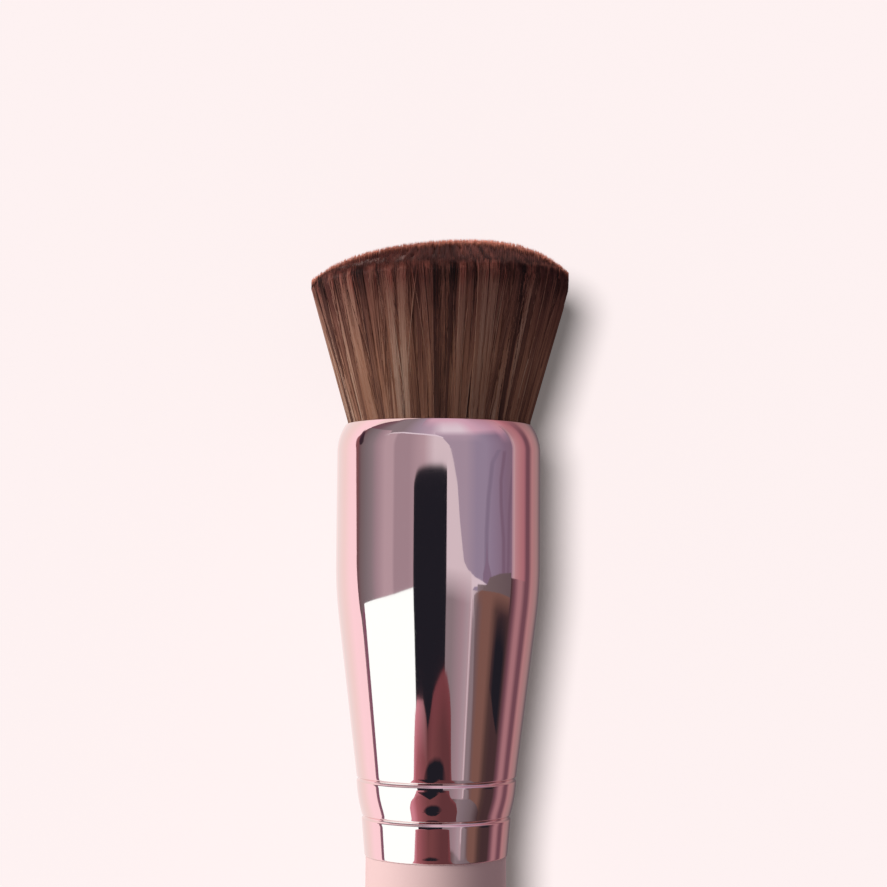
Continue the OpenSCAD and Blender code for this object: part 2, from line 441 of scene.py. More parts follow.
def tip_height(share, angle):
    """Height of the trimmed top above the mouth. The middle of the dome leans to the right."""
    x = share * np.sin(angle)
    return EDGE_H + DOME_H * (1 - share**DOME_POWER) + DOME_LEAN * x * (1 - share**2) + DOME_TILT * x


def hair_material():
    """Synthetic fibre: taupe and brown streaks from the ferrule up, dark reddish brown at the trimmed top, with painted
    shade towards the ferrule and a painted highlight on the fine ends.
    """
    n = Nodes("bristle_fibre")
    place = n.add("UVMap", {"uv_map": BAKE_MAP}).outputs["UV"]
    parts = n.add("SeparateXYZ", vector=place)
    tone, along = parts.outputs["X"], parts.outputs["Y"]
    lower = n.ramp(
        tone,
        [
            (0.0, (0.060, 0.025, 0.020)),
            (0.3, (0.200, 0.084, 0.054)),
            (0.6, (0.385, 0.178, 0.108)),
            (0.85, (0.430, 0.238, 0.162)),
            (1.0, (0.530, 0.345, 0.255)),
        ],
    )
    upper = n.ramp(
        tone,
        [
            (0.0, (0.060, 0.021, 0.017)),
            (0.5, (0.220, 0.084, 0.058)),
            (1.0, (0.380, 0.190, 0.135)),
        ],
    )
    tips = n.ramp(
        tone,
        [
            (0.0, (0.014, 0.005, 0.004)),
            (0.5, (0.085, 0.025, 0.020)),
            (1.0, (0.290, 0.086, 0.062)),
        ],
    )
    # Painted highlight: the fine ends get a bright red that stands in for light shining through them.
    fuzz_glow = n.ramp(tone, [(0.0, (0.50, 0.150, 0.095)), (1.0, (0.72, 0.27, 0.18))])
    # Painted shade: the strands darken towards the ferrule's mouth, to ROOT_SHADE of their colour near the root.
    shade = n.between(along, ROOT_SHADE_LOW, ROOT_SHADE_HIGH, ROOT_SHADE, 1.0)
    colour = n.mix(shade, (0.0, 0.0, 0.0), lower)
    colour = n.mix(n.between(along, 0.45, 0.76), colour, upper)
    colour = n.mix(n.between(along, 0.785, 0.88), colour, tips)
    colour = n.mix(n.between(along, FUZZ_GLOW_START, 1.0), colour, fuzz_glow)
    shader = n.add("BsdfPrincipled", base_color=colour, roughness=0.5)
    shader.inputs["Specular IOR Level"].default_value = 0.15
    return n.finish(shader.outputs["BSDF"])


def strand_mesh(name, centres, thickness, tone, along):
    """Three-sided tubes along given centre lines, closed at the root and pointed at the tip.

    centres is (strands, rings, 3), and thickness, tone and along are (strands, rings). The last ring is the point.
    """
    count, rings, _ = centres.shape
    turns = np.arange(3) * math.tau / 3
    outward = np.arctan2(centres[:, 0, 1], centres[:, 0, 0])
    angle = outward[:, None, None] + turns[None, None, :]
    corner = np.stack([np.cos(angle), np.sin(angle), np.zeros_like(angle)], axis=-1)
    tube = centres[:, :-1, None, :] + corner * thickness[:, :-1, None, None] / 2
    points = np.concatenate([tube.reshape(count, -1, 3), centres[:, -1:, :]], axis=1)
    per = 3 * (rings - 1) + 1

    faces = [(0, 2, 1)]
    for ring in range(rings - 2):
        for s in range(3):
            a, b = 3 * ring + s, 3 * ring + (s + 1) % 3
            faces += [(a, b, b + 3), (a, b + 3, a + 3)]
    last = 3 * (rings - 2)
    faces += [(last + s, last + (s + 1) % 3, per - 1) for s in range(3)]
    faces = np.array(faces)
    corner_side = np.append(np.tile([-1.0, 0.0, 1.0], rings - 1), 0.0)
    ring_of = np.append(np.repeat(np.arange(rings - 1), 3), rings - 1)[faces.ravel()]

    total = count * len(faces)
    indices = (faces[None] + (np.arange(count) * per)[:, None, None]).reshape(-1)
    mesh = bpy.data.meshes.new(name)
    mesh.vertices.add(count * per)
    mesh.vertices.foreach_set("co", points.astype(np.float32).ravel())
    mesh.loops.add(total * 3)
    mesh.loops.foreach_set("vertex_index", indices.astype(np.int32))
    mesh.polygons.add(total)
    mesh.polygons.foreach_set("loop_start", np.arange(0, total * 3, 3, dtype=np.int32))
    mesh.polygons.foreach_set("use_smooth", np.ones(total, dtype=bool))
    uv = mesh.uv_layers.new(name=BAKE_MAP)
    u = tone[:, ring_of] + TONE_W * corner_side[faces.ravel()][None]
    v = along[:, ring_of]
    uv.data.foreach_set("uv", np.stack([u, v], axis=-1).astype(np.float32).ravel())
    mesh.update(calc_edges=True)
    mesh.validate()
    piece = bpy.data.objects.new(name, mesh)
    bpy.context.scene.collection.objects.link(piece)
    return piece


def make_locks(rng):
    """Locks of hair: each has a place, a width, a tone and a lean that its strands share."""
    kind = rng.random(LOCKS)
    tone = rng.normal(0.46, 0.10, LOCKS)
    tone = np.where(kind < 0.22, rng.uniform(0.06, 0.26, LOCKS), tone)
    tone = np.where(kind > 0.76, rng.uniform(0.68, 0.92, LOCKS), tone)
    spread = rng.normal(0, 0.5, LOCKS)
    return {
        "angle": math.tau * (np.arange(LOCKS) + rng.uniform(-0.8, 0.8, LOCKS)) / LOCKS,
        "width": rng.uniform(0.05, 0.24, LOCKS) * MM,
        "tone": tone,
        "drift": rng.normal(0, 0.11, LOCKS),
        "reach": np.abs(rng.normal(0, 0.06, LOCKS)) - 0.02,
        "layer": rng.random(LOCKS),
        "lean": spread * np.where(rng.random(LOCKS) > 0.85, 2.2, 1.0) * MM,
        "sway": rng.normal(0, 0.16, LOCKS) * MM,
        "phase": rng.uniform(0, math.tau, LOCKS),
        "lift": rng.uniform(-0.25, 0.08, LOCKS) * MM,
    }


def comb(angle, share, own, levels, low_z, top_z):
    """Centre lines of strands that rise from low_z to top_z, fanned out with the tuft."""
    t = levels[None, :]
    z = low_z[:, None] + (top_z[:, None] - low_z[:, None]) * t
    height = z - MOUTH_Z
    radius = share[:, None] * tuft_radius(height)
    rise = np.clip(height / EDGE_H, 0, None)
    wave = own["sway"][:, None] * np.sin(3.0 * rise + own["phase"][:, None])
    around = angle[:, None] + (own["lean"][:, None] * rise + wave) / FLARE_R
    x, y = radius * np.sin(around), -radius * np.cos(around)
    return np.stack([x, y, np.minimum(z, TOP_Z)], axis=-1)


def in_sectors(name, material, angle, centres, thickness, tone, along):
    """Strands made into one piece for each sector of the tuft."""
    sector = np.floor((angle / math.tau % 1) * SECTORS).astype(int) % SECTORS
    pieces = []
    for number in range(SECTORS):
        mine = sector == number
        piece = strand_mesh(f"{name}_{number + 1}", centres[mine], thickness[mine], tone[mine], along[mine])
        pieces.append(keep(piece, material, "bristles"))
    return pieces


def long_strands(rng, locks, material):
    """The tuft's outside, from the ferrule to the trimmed top: locks that part over hair of a darker tone, which is
    painted shade in the gaps between them.
    """
    count = LONG_STRANDS
    member = rng.integers(0, LOCKS, count)
    own = {key: value[member] for key, value in locks.items()}
    under = rng.random(count) < UNDER_SHARE
    offset = rng.normal(0, 1, count) * own["width"] / ROOT_R
    angle = np.where(under, rng.uniform(0, math.tau, count), own["angle"] + offset)
    own["lean"] = np.where(under, 0, own["lean"] - GATHER * offset * FLARE_R)
    stray = np.where(rng.random(count) < STRAY_SHARE, STRAY_LEAN, OWN_LEAN)
    own["lean"] = own["lean"] + rng.normal(0, 1, count) * stray
    own["sway"] = own["sway"] + rng.normal(0, 0.06, count) * MM
    depth = np.sqrt(0.6 * own["layer"] + 0.4 * rng.random(count))
    share = np.where(under, rng.uniform(UNDER_LOW, SKIN_LOW, count), SKIN_LOW + (1 - SKIN_LOW) * depth)

    levels = np.array([0.0, 0.18, 0.34, 0.50, 0.66, 0.82, 0.955, 1.0])
    tone = own["tone"] + rng.normal(0, 0.09, count)
    tone = np.where(rng.random(count) > 0.97, rng.uniform(0.75, 0.98, count), tone)
    # Painted shade: the hair under the locks takes a darker tone, for the shade in the gaps between them.
    tone = np.where(under, rng.normal(0.20, 0.09, count), tone)
    drift = own["drift"][:, None] * np.sin(5.0 * levels[None] + 1.7 * own["phase"][:, None])
    tone = np.clip(tone[:, None] + drift, 0.01, 0.99)
    reach = own["reach"] + rng.normal(0, 0.025, count)
    along = np.clip(levels[None] * FUZZ_GLOW_START + reach[:, None], 0, FUZZ_GLOW_START)

    low = np.full(count, ROOT_Z)
    tips = tip_height(share, angle) + own["lift"] - rng.uniform(0, 1, count) ** 1.6 * EDGE_SCATTER
    centres = comb(angle, share, own, levels, low, MOUTH_Z + tips)
    profile = np.array([0.8, 0.95, 1.0, 1.0, 1.05, 1.05, 0.85, 0.0])
    thickness = rng.uniform(0.8, 1.25, count)[:, None] * STRAND_D * profile[None]
    return in_sectors("bristles", material, angle, centres, thickness, tone, along)


def short_strands(rng, locks, material):
    """The strands that fill the flat top between the trunk and the outside."""
    count = SHORT_STRANDS
    angle = rng.uniform(0, math.tau, count)
    share = np.sqrt(rng.uniform(0, 0.96**2, count))
    near = np.floor(angle / math.tau * LOCKS + rng.uniform(0, 1, count)).astype(int) % LOCKS
    own = {key: value[near] * share**2 for key, value in locks.items()}
    levels = np.array([0.0, 0.7, 1.0])
    tone = LOCK_TONE_SHARE * locks["tone"][near] + (1 - LOCK_TONE_SHARE) * rng.normal(0.42, 0.5, count)
    tone = np.clip(tone, 0.01, 0.99)[:, None] * np.ones(3)
    tips = MOUTH_Z + tip_height(share, angle) - rng.uniform(0, 1, count) * TIP_SCATTER
    centres = comb(angle, share, own, levels, tips - SHORT_L, tips)
    thickness = rng.uniform(0.9, 1.5, count)[:, None] * STRAND_D * np.array([1.0, 1.0, 0.0])[None]
    along = (1 - (1 - levels) * SHORT_L / (MOUTH_Z + EDGE_H - ROOT_Z)) * FUZZ_GLOW_START
    return in_sectors("bristle_tips", material, angle, centres, thickness, tone, np.tile(along, (count, 1)))


def tip_fuzz(rng, locks, material):
    """The finest ends, which stand a little proud of the trim on the dome's shoulder. Their bright colour is a painted
    highlight, standing in for light that shines through them.
    """
    count = FUZZ_STRANDS
    angle = rng.uniform(0, math.tau, count)
    ring = 0.59 + 0.39 * np.abs(np.sin(angle)) ** 5
    share = np.clip(ring + rng.normal(0, 0.07, count), 0, 1)
    near = rng.integers(0, LOCKS, count)
    own = {key: value[near] * 0.3 for key, value in locks.items()}
    tone = rng.uniform(0.05, 0.95, count)[:, None] * np.ones(3)
    levels = np.array([0.0, 0.6, 1.0])
    proud = rng.uniform(0, 1, count) ** 1.5 * 0.34 * MM
    tips = MOUTH_Z + tip_height(share, angle) + proud
    centres = comb(angle, share, own, levels, tips - FUZZ_L, tips)
    thickness = np.full(count, 0.5 * STRAND_D)[:, None] * np.array([1.0, 1.0, 0.0])[None]
    along = FUZZ_GLOW_START + (1 - FUZZ_GLOW_START) * np.array([0.0, 0.7, 1.0])
    return in_sectors("bristle_fuzz", material, angle, centres, thickness, tone, np.tile(along, (count, 1)))


def trunk_material():
    """The packed fibres deep in the tuft: their own brown, darkened as painted shade between the strands that cover
    them.
    """
    n = Nodes("packed_fibre")
    streak = n.noise(4200.0, detail=2.0, stretch=(1, 1, 0.03))
    # Painted shade: these dark browns stand for fibres that the light hardly reaches.
    colour = n.ramp(streak, [(0.35, (0.06, 0.024, 0.018)), (0.7, (0.17, 0.070, 0.050))])
    bump = n.add("Bump", strength=0.6, distance=0.0001, height=streak)
    shader = n.add("BsdfPrincipled", base_color=colour, roughness=0.7, normal=bump.outputs["Normal"])
    return n.finish(shader.outputs["BSDF"])


def build_trunk():
    """The middle of the bundle as one solid, from the resin to just under the trimmed tips."""
    top_h = EDGE_H - TRUNK_DROP
    heights = np.append(np.linspace(-3.0 * MM, FLARE_H, 40), top_h)
    side = [(float(TRUNK_SHARE * tuft_radius(h)), float(MOUTH_Z + h)) for h in heights]
    top = [
        (
            float(share * TRUNK_SHARE * FLARE_R),
            float(MOUTH_Z + top_h + (DOME_H - DOME_TILT) * (1 - (share * TRUNK_SHARE) ** DOME_POWER)),
        )
        for share in np.linspace(1, 0, 24)
    ]
    bundle_r = ROOT_R * TRUNK_SHARE
    outline = joined(
        line((0, RESIN_HIGH.z), (bundle_r, RESIN_HIGH.z), MM),
        line((bundle_r, RESIN_HIGH.z), side[0], MM),
        side,
        top,
    )
    nodes = [f"bristles_{ring}" for ring in ("core", "inner", "middle", "outer", "rim")]
    return keep(turn("bristle_trunk", outline, 96), trunk_material(), "bristles", *nodes)


def build_bristles():
    """The tuft: a trunk inside, long strands round it, short ones over its flat top, and fine ends."""
    rng = np.random.default_rng(SEED)
    material = hair_material()
    locks = make_locks(rng)
    return [
        *long_strands(rng, locks, material),
        *short_strands(rng, locks, material),
        *tip_fuzz(rng, locks, material),
        build_trunk(),
    ]


# Studio
PAPER = (0.991, 0.887, 0.887)
METAL_TINT = (0.89, 0.68, 0.66)
AMBIENT = (0.205, 0.18, 0.205)
CARD_R = 0.22
CARD_GAP = 0.25 * MM
DEEP = -1000.0
WALL_Y = TUFT_R + 0.6 * MM
PAPER_LIT = 0.82
PAPER_ALBEDO = 0.3


def shown(red, green, blue):
    """A card's colour from how it shows in the ferrule: 0-255 display values, over the metal's tint."""

    def linear(value):
        value /= 255
        return value / 12.92 if value <= 0.04045 else ((value + 0.055) / 1.055) ** 2.4

    return tuple(linear(v) / tint for v, tint in zip((red, green, blue), METAL_TINT))


# Card colours, as they show in rose gold
WHITE = (1.15, 1.5, 1.5)
SHELL = shown(241, 203, 199)
BLUSH = shown(253, 206, 211)
CREAM = shown(208, 183, 189)
PALE = shown(216, 193, 203)
ORCHID = shown(206, 161, 178)
MALLOW = shown(184, 136, 154)
MAUVE = shown(178, 146, 153)
DUSK = shown(158, 128, 136)
SLATE = shown(114, 90, 95)
LILAC_PALE = shown(178, 149, 165)
LILAC = shown(159, 136, 151)
VIOLET = shown(144, 125, 145)
HEATHER = shown(126, 101, 122)
GREY = shown(134, 114, 119)
ASH = shown(106, 83, 86)
PINK = shown(163, 110, 116)
ROSE = shown(205, 128, 140)
PLUM = shown(110, 69, 79)
BROWN = shown(120, 82, 74)
UMBER = shown(68, 46, 48)
RUSSET = shown(114, 63, 65)
GARNET = shown(95, 52, 55)
BLACK = shown(31, 28, 35)


def paper_material(name):
    """Seamless paper: most of its brightness comes from its own lamp, so the brush's shadow falls on it."""
    n = Nodes(name)
    own = [c * (1 - PAPER_LIT - PAPER_ALBEDO * a) for c, a in zip(PAPER, AMBIENT)]
    glow = n.add("Emission", color=(*own, 1), strength=1.0)
    paint = n.add("BsdfDiffuse", color=(*[c * PAPER_ALBEDO for c in PAPER], 1))
    front = n.add("AddShader")
    n.tree.links.new(glow.outputs[0], front.inputs[0])
    n.tree.links.new(paint.outputs[0], front.inputs[1])
    side = n.add("NewGeometry").outputs["Backfacing"]
    clear = n.add("BsdfTransparent")
    both = n.add("MixShader")
    n.tree.links.new(side, both.inputs[0])
    n.tree.links.new(front.outputs[0], both.inputs[1])
    n.tree.links.new(clear.outputs[0], both.inputs[2])
    return n.finish(both.outputs[0])


def paper_sheet(name, location, rotation):
    """One sheet of paper, as floor or backdrop. The metal sees the cards instead of it."""
    deselect()
    bpy.ops.mesh.primitive_plane_add(size=16.0, location=location, rotation=rotation)
    sheet = bpy.context.object
    sheet.name = name
    bpy.ops.object.transform_apply(location=True, rotation=True, scale=True)
    sheet.data.materials.append(paper_material(name + "_paper"))
    sheet.visible_diffuse = False
    sheet.visible_shadow = False
    sheet.visible_glossy = False
    return sheet


def sun(name, azimuth, elevation, strength, spread, receivers):
    """A soft lamp far away. Azimuth 0 is the camera's side and turns to the right; it lights the receivers only."""
    data = bpy.data.lights.new(name, "SUN")
    data.energy = strength * math.pi
    data.angle = math.radians(spread)
    lamp = bpy.data.objects.new(name, data)
    bpy.context.scene.collection.objects.link(lamp)
    turned = Matrix.Rotation(math.radians(azimuth), 4, "Z") @ Matrix.Rotation(math.radians(90 - elevation), 4, "X")
    lamp.matrix_world = turned
    group = bpy.data.collections.new(name + "_receivers")
    for receiver in receivers:
        group.objects.link(receiver)
    lamp.light_linking.receiver_collection = group
    return lamp


def card_material(name, colours, top, deep, fade):
    """A card's glow: colours by azimuth, mixed into those of its upper edge, which may fade out."""
    n = Nodes(name + "_card")
    parts = n.add("SeparateXYZ", vector=n.add("UVMap", {"uv_map": "UVMap"}).outputs["UV"])
    across, below = parts.outputs["X"], parts.outputs["Y"]
    colour = n.ramp(across, colours)
    if top:
        colour = n.mix(n.between(below, 0.0, deep), n.ramp(across, top), colour)
    shader = n.add("Emission", color=colour, strength=1.0).outputs[0]
    if fade:
        both = n.add("MixShader")
        clear = n.add("BsdfTransparent")
        n.tree.links.new(n.between(below, 0.0, fade), both.inputs[0])
        n.tree.links.new(clear.outputs[0], both.inputs[1])
        n.tree.links.new(shader, both.inputs[2])
        shader = both.outputs[0]
    n.material.cycles.emission_sampling = "NONE"
    return n.finish(shader)


def hung(name, mesh):
    """A card's mesh put up in the studio, where only the metal sees it."""
    piece = bpy.data.objects.new(name, mesh)
    bpy.context.scene.collection.objects.link(piece)
    piece.visible_camera = False
    piece.visible_diffuse = False
    piece.visible_shadow = False
    return piece


def card(name, layer, columns, colours, top=None, deep=40.0, fade=0.0, drum=CARD_R):
    """A glowing card that only the metal sees, on a drum round the brush. Higher layers hang nearer.

    Columns are (azimuth, low, high) and colours (azimuth, colour): azimuths in degrees from the camera's side
    to the right, heights in millimetres. The colours in top follow the upper edge and reach down by deep.
    """
    corners = np.array([c[0] for c in columns], float)
    at = np.union1d(corners, np.arange(corners[0], corners[-1], 2.0))
    low = np.interp(at, corners, [c[1] for c in columns])
    high = np.interp(at, corners, [c[2] for c in columns])
    distance = drum - layer * CARD_GAP
    x, y = distance * np.sin(np.radians(at)), -distance * np.cos(np.radians(at))
    points = np.concatenate([np.stack([x, y, low * MM], -1), np.stack([x, y, high * MM], -1)])
    count = len(at)
    mesh = bpy.data.meshes.new(name)
    faces = [(i, i + 1, count + i + 1, count + i) for i in range(count - 1)]
    mesh.from_pydata(points.tolist(), [], faces)
    uv = mesh.uv_layers.new(name="UVMap")
    span = corners[-1] - corners[0]
    for loop in mesh.loops:
        column = loop.vertex_index % count
        below = high[column] - low[column] if loop.vertex_index < count else 0.0
        uv.data[loop.index].uv = ((at[column] - at[0]) / span, below)

    def spaced(stops):
        return [((azimuth - corners[0]) / span, colour) for azimuth, colour in stops]

    mesh.materials.append(card_material(name, spaced(colours), spaced(top or []), deep, fade))
    return hung(name, mesh)


def strip(name, layer, path, width, colour):
    """A narrow glowing strip along a path of (azimuth, height) points, soft on both sides."""
    distance = CARD_R - layer * CARD_GAP
    rows = []
    for azimuth, height in path:
        for side in (-0.5, 0, 0.5):
            a = math.radians(azimuth + side * width)
            rows.append((distance * math.sin(a), -distance * math.cos(a), height * MM))
    faces = [(r + s, r + s + 1, r + s + 4, r + s + 3) for r in range(0, 3 * len(path) - 3, 3) for s in (0, 1)]
    mesh = bpy.data.meshes.new(name)
    mesh.from_pydata(rows, [], faces)
    uv = mesh.uv_layers.new(name="UVMap")
    for loop in mesh.loops:
        uv.data[loop.index].uv = (loop.vertex_index % 3 / 2, 0.0)
    n = Nodes(name + "_card")
    across = n.add("SeparateXYZ", vector=n.add("UVMap", {"uv_map": "UVMap"}).outputs["UV"]).outputs["X"]
    solid = n.ramp(across, [(0.0, (0, 0, 0)), (0.35, (0.8,) * 3), (0.65, (0.8,) * 3), (1.0, (0, 0, 0))])
    both = n.add("MixShader")
    n.tree.links.new(solid, both.inputs[0])
    n.tree.links.new(n.add("BsdfTransparent").outputs[0], both.inputs[1])
    n.tree.links.new(n.add("Emission", color=(*colour, 1), strength=1.0).outputs[0], both.inputs[2])
    n.material.cycles.emission_sampling = "NONE"
    mesh.materials.append(n.finish(both.outputs[0]))
    return hung(name, mesh)


def hang_sky_cards():
    """What the shoulder mirrors: pale sheets overhead, darker to the left."""
    card(
        "overhead_left",
        0,
        [
            (-97, 235, 287),
            (-93, 235, 310),
            (-84.5, 235, 369),
            (-69, 235, 455),
            (-55, 235, 640),
            (-40, 235, 1000),
            (-25, 235, 3000),
        ],
        [(-97, PLUM), (-80, SLATE), (-62, GREY), (-45, GREY), (-25, LILAC)],
        [(-97, PLUM), (-69, PLUM), (-52, GREY), (-25, MALLOW)],
        130.0,
    )
    card(
        "overhead_middle",
        0.5,
        [(-25, 200, 560), (93, 200, 560)],
        [
            (-25, LILAC),
            (-10, LILAC_PALE),
            (6, PALE),
            (28, PALE),
            (44, ORCHID),
            (60, shown(192, 150, 168)),
            (74, shown(186, 138, 156)),
            (85, shown(188, 136, 148)),
            (93, shown(186, 128, 138)),
        ],
        fade=220.0,
    )
    card(
        "overhead_high",
        0,
        [(-25, 300, 3000), (93, 300, 3000)],
        [
            (-25, shown(170, 130, 146)),
            (-14, shown(204, 158, 174)),
            (20, shown(209, 162, 178)),
            (48, shown(202, 155, 172)),
            (60, shown(184, 138, 153)),
            (75, shown(172, 125, 138)),
            (93, shown(150, 102, 110)),
        ],
    )


def hang_left_cards():
    """The studio's left side: a blush panel, a mauve wall with a dark edge, and a white board below."""
    card(
        "blush_panel",
        0,
        [(-152, DEEP, 3000), (-95, DEEP, 3000)],
        [(-152, shown(234, 203, 200)), (-128, SHELL), (-112, BLUSH), (-95, BLUSH)],
    )
    card(
        "mauve_wall",
        1,
        [
            (-107, 192, 204),
            (-105, 162, 218),
            (-103, 142, 238),
            (-102, 134, 247),
            (-101, 125, 257),
            (-100, 110, 266),
            (-99, 97, 272),
            (-98, 83, 279),
            (-96, 71, 285),
            (-94, DEEP, 285),
            (-60, DEEP, 285),
        ],
        [
            (-107, PINK),
            (-104, shown(130, 78, 82)),
            (-101, shown(122, 74, 77)),
            (-98, shown(106, 74, 79)),
            (-94, shown(113, 92, 95)),
            (-86, shown(121, 104, 108)),
            (-78, GREY),
            (-70, DUSK),
            (-60, MAUVE),
        ],
    )
    card(
        "wall_corner",
        3,
        [(-104, 220, 262), (-101, 188, 262), (-98, 166, 246), (-95, 168, 216), (-92, 186, 190)],
        [(-104, PLUM), (-100, shown(58, 36, 46)), (-95, shown(52, 36, 43)), (-92, ASH)],
        fade=18.0,
    )
    card(
        "board_edge",
        2,
        [(-95.2, DEEP, 66), (-94, DEEP, 78), (-89.5, DEEP, 88)],
        [(-95.2, PINK), (-94, shown(125, 80, 97)), (-91, shown(125, 80, 97)), (-89.5, shown(150, 110, 122))],
    )
    card(
        "mauve_wall_trim",
        1,
        [(-68, 226, 244), (-55, 245, 268), (-43, 252, 276), (-32, 245, 270), (-17, 238, 262), (-3, 224, 250), (5, 200, 226)],
        [(-68, DUSK), (-58, CREAM), (-40, PALE), (4.7, PALE)],
    )
    card(
        "middle_sheet",
        2,
        [
            (-60, DEEP, 250),
            (-55, DEEP, 255),
            (-43, DEEP, 262),
            (-32, DEEP, 256),
            (-17, DEEP, 248),
            (-10, DEEP, 241),
            (-3.2, DEEP, 235),
            (4.1, DEEP, 220),
            (7.8, DEEP, 187),
            (12, DEEP, 150),
            (16.2, DEEP, 146),
            (20.4, DEEP, 141),
            (23.4, DEEP, 132),
            (27.5, DEEP, 124),
            (32.6, 85, 114),
            (40.6, 96, 106.5),
            (49, 97.5, 102.8),
            (55.1, 98.8, 99.2),
        ],
        [(-60, MAUVE), (-51, MAUVE), (-48, DUSK), (-32, DUSK), (-16, MAUVE), (-4, CREAM), (30, CREAM), (55.1, PALE)],
    )
    card(
        "white_board",
        5,
        [
            (-90, DEEP, 86.5),
            (-74, DEEP, 86.6),
            (-60, DEEP, 87.1),
            (-48, DEEP, 88.5),
            (-36, DEEP, 91.4),
            (-26, DEEP, 94),
        ],
        [(-90, WHITE), (-26, WHITE)],
    )


def hang_folds():
    """The lilac wall's folds: narrow darker strips that lean to the right as they rise."""
    dark = shown(122, 103, 124)
    plum = shown(115, 87, 106)
    folds = {
        "inner_fold": ([(70.4, 149.5), (60.5, 146), (58.5, 142), (56, 138), (54, 130), (53.3, 90)], 7.0, dark),
        "middle_fold": ([(77, 149), (75, 146), (72, 142), (72.5, 136), (76, 128), (77, 90)], 6.5, plum),
        "outer_fold": ([(90, 145), (86, 140), (84, 134), (83, 120), (82, 90)], 6.0, plum),
    }
    for name, (path, width, colour) in folds.items():
        strip(name, 1, path, width, colour)


def hang_right_cards():
    """The studio's right side: a lilac wall with slanting folds, a brown corner under it, and pink panels."""
    card(
        "lilac_wall",
        0.7,
        [(-4, 90, 300), (91, 90, 300)],
        [
            (-4, LILAC),
            (30, LILAC),
            (42, VIOLET),
            (53, VIOLET),
            (61, shown(138, 117, 138)),
            (69, shown(134, 111, 131)),
            (77, shown(127, 101, 121)),
            (91, shown(124, 96, 112)),
        ],
        [(-4, LILAC_PALE), (40, LILAC_PALE), (52, VIOLET), (72, HEATHER), (79, MALLOW), (91, VIOLET)],
        120.0,
        fade=60.0,
    )
    hang_folds()
    card("violet_wedge", 2, [(50, 103, 110), (54.4, 100, 128), (61, 105, 107)], [(50, HEATHER), (61, HEATHER)])
    card(
        "grey_corner",
        3,
        [(44, 82, 99), (55, 82, 99.2), (58.5, 84, 107), (71, 86, 111.5), (91, 86, 114)],
        [(44, GREY), (52, shown(112, 93, 95)), (91, shown(98, 79, 83))],
    )
    card(
        "grey_sheet",
        3,
        [(8, DEEP, 118), (36, DEEP, 112), (38.4, DEEP, 92), (49, DEEP, 92)],
        [(8, GREY), (16, GREY), (28, DUSK), (34, shown(165, 141, 148)), (38, MAUVE), (40, GREY), (44, GREY), (49, ASH)],
        [(8, CREAM), (38, CREAM), (49, GREY)],
        36.0,
    )
    card(
        "brown_corner",
        4,
        [(40.4, 78, 87), (43, 57, 90), (46, 43, 91.5), (48, 24, 92.5), (49, DEEP, 93), (72, DEEP, 93), (92, DEEP, 91.5)],
        [(40.4, GREY), (45, ASH), (52, BROWN), (61, BROWN), (69, shown(78, 54, 52)), (76, UMBER), (92, UMBER)],
        [(40.4, GREY), (47, BROWN), (85, BROWN), (92, PLUM)],
        18.0,
    )
    card(
        "black_corner",
        5,
        [(68, 50, 66), (72, 49, 74), (78, 46, 76), (86, 44, 74), (90, 46, 68)],
        [(68, UMBER), (73, BLACK), (84, BLACK), (90, UMBER)],
        fade=12.0,
    )
    card("bright_gap", 5, [(37.2, 20, 84), (39.4, 20, 82)], [(37.2, CREAM), (39.4, MAUVE)])
    card(
        "pale_edge",
        8,
        [(88.0, 109, 330), (93.0, 109, 330)],
        [(88.0, shown(140, 104, 124)), (89.6, shown(172, 135, 144)), (93.0, shown(190, 146, 150))],
        fade=130.0,
    )
    card(
        "pink_panels",
        6,
        [(88, DEEP, 330), (158, DEEP, 330)],
        [
            (88, UMBER),
            (94, PLUM),
            (101, PINK),
            (106, PINK),
            (114, PLUM),
            (120, PLUM),
            (128, shown(173, 118, 120)),
            (143, shown(158, 115, 115)),
            (158, ASH),
        ],
        fade=130.0,
    )
    card(
        "pink_panel_high",
        7,
        [(92, 109, 330), (114, 109, 330)],
        [
            (92, shown(183, 135, 140)),
            (97, shown(179, 122, 128)),
            (103, shown(174, 113, 118)),
            (109, shown(166, 104, 112)),
            (114, shown(122, 76, 86)),
        ],
        fade=130.0,
    )
    card(
        "pink_overhead",
        1,
        [(93, 150, 3000), (158, 150, 3000)],
        [
            (93, shown(187, 130, 140)),
            (98, shown(184, 118, 127)),
            (107, shown(160, 98, 106)),
            (117, shown(148, 95, 102)),
            (131, shown(133, 93, 95)),
            (158, ASH),
        ],
    )


